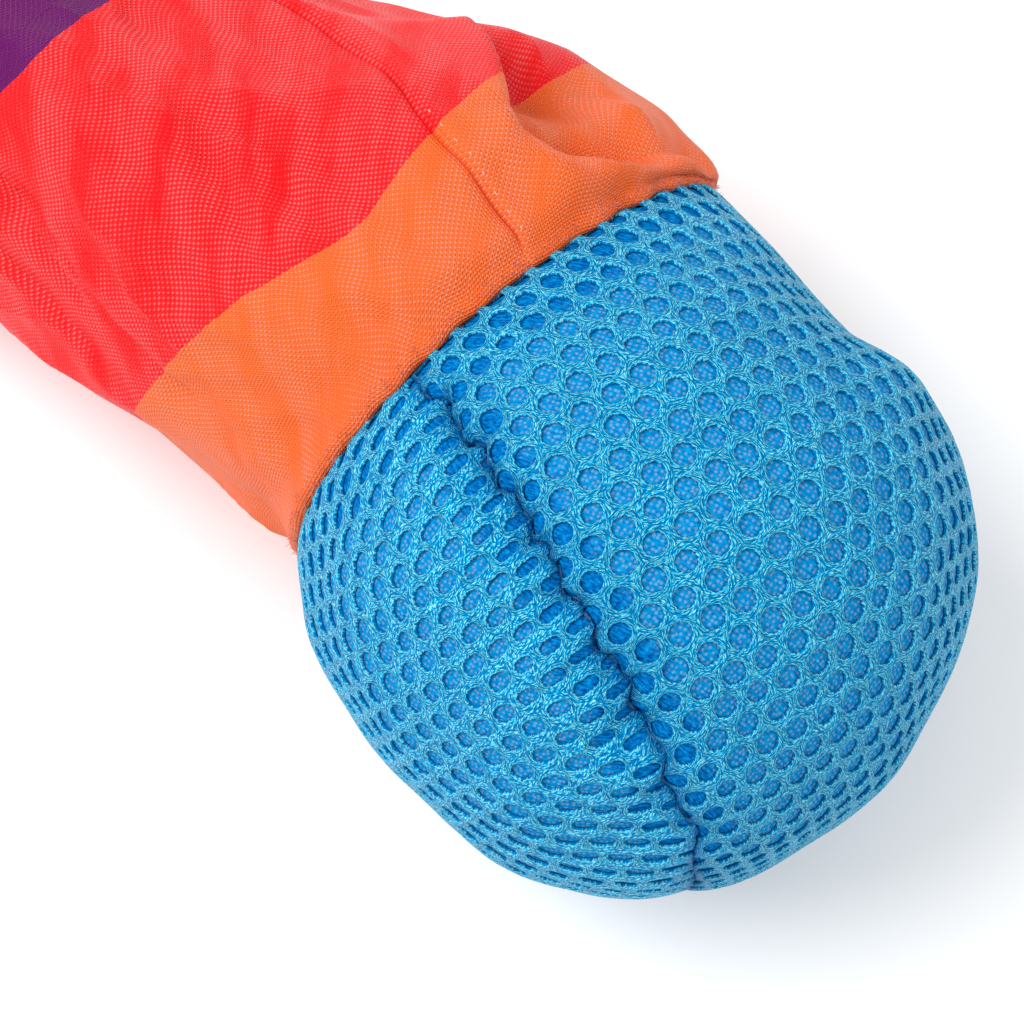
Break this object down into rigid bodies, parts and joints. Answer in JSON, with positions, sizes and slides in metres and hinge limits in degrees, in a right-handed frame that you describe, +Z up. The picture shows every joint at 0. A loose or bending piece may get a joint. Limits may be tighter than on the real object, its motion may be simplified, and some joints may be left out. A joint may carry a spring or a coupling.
{
  "type": "throw and tug training toy",
  "caption": "Stuffed air-mesh head sewn to a long, slack, tapering striped sleeve that ends in a webbing pull loop.",
  "frame": {"origin": "centre of the flat patch that the stuffed head rests on", "axes": "+Z up from the floor; +X from the tail towards the tip of the head"},
  "size_m": [0.5944, 0.1619, 0.097],
  "materials": {
    "air_mesh": "satin",
    "fibre": "matte",
    "blue_thread": "matte",
    "bladder_plastic": "gloss",
    "reed_plastic": "matte",
    "lining_cloth": "matte",
    "striped_cloth": "satin",
    "sleeve_thread": "matte",
    "binding_tape": "matte",
    "webbing": "matte",
    "tack_thread": "matte"
  },
  "bodies": {
    "head": {"head_panel_left": "air_mesh", "head_panel_right": "air_mesh", "head_seam_thread": "blue_thread", "head_filling": "fibre", "squeaker_bladder": "bladder_plastic", "squeaker_reed": "reed_plastic", "neck_closure_disc": "lining_cloth", "neck_seam_thread": "blue_thread"},
    "tail_front": {"sleeve_front_left": "striped_cloth", "sleeve_front_right": "striped_cloth", "front_seam_thread": "sleeve_thread"},
    "tail_middle": {"sleeve_middle_left": "striped_cloth", "sleeve_middle_right": "striped_cloth", "middle_seam_thread": "sleeve_thread"},
    "tail_rear": {"sleeve_rear_left": "striped_cloth", "sleeve_rear_right": "striped_cloth", "rear_seam_thread": "sleeve_thread", "tail_end_binding": "binding_tape", "loop_strap_root": "webbing", "loop_bar_tacks": "tack_thread"},
    "tail_loop": {"pull_loop": "webbing"}
  },
  "joints": [
    {"name": "neck_bend", "type": "hinge", "parent": "head", "child": "tail_front", "pos_m": [-0.07811, -0.0183, 0.02], "axis": [0, 0, 1], "range_deg": [-35, 35]},
    {"name": "tail_front_bend", "type": "hinge", "parent": "tail_front", "child": "tail_middle", "pos_m": [-0.21061, -0.06653, 0.02], "axis": [0, 0, 1], "range_deg": [-35, 35]},
    {"name": "tail_middle_bend", "type": "hinge", "parent": "tail_middle", "child": "tail_rear", "pos_m": [-0.34924, -0.08601, 0.02], "axis": [0, 0, 1], "range_deg": [-35, 35]},
    {"name": "loop_flop", "type": "hinge", "parent": "tail_rear", "child": "tail_loop", "pos_m": [-0.48244, -0.08601, 0.0032], "axis": [0, 1, 0], "range_deg": [0, 90]}
  ]
}
